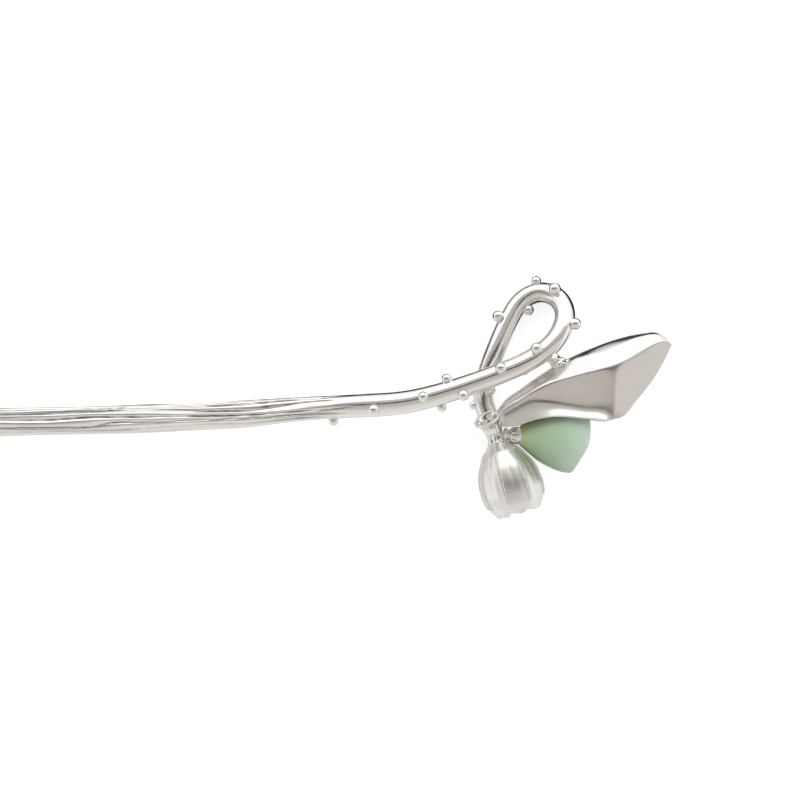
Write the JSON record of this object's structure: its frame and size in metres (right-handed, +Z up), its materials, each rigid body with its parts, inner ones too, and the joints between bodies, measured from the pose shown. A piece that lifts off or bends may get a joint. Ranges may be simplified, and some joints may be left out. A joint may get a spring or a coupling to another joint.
{
  "type": "decorative hair pin",
  "caption": "Long hair stick of silver with a wood-grained shaft, a looped thorny stem, a folded lotus leaf, a fluted seed pod and a green stone bud.",
  "frame": {"origin": "under the middle of the pin as it lies on its side, on the table's plane", "axes": "+X along the shaft towards the ornament, +Z up from the table, +Y towards the loop's side"},
  "size_m": [0.1392, 0.0306, 0.0089],
  "materials": {
    "silver": "polished",
    "grained_silver": "grained and polished",
    "green_stone": "satin, slightly translucent"
  },
  "bodies": {
    "root": {"shaft": "grained_silver", "loop_stem": "silver", "stem_granules": "silver", "collar": "silver", "leaf": "silver", "solder_bridge": "silver", "pod_neck": "silver", "pod_cup": "grained_silver", "pod_face": "silver", "pod_seeds": "silver", "bud_post": "silver", "bud_cap": "silver", "jade_bud": "green_stone"}
  },
  "joints": []
}
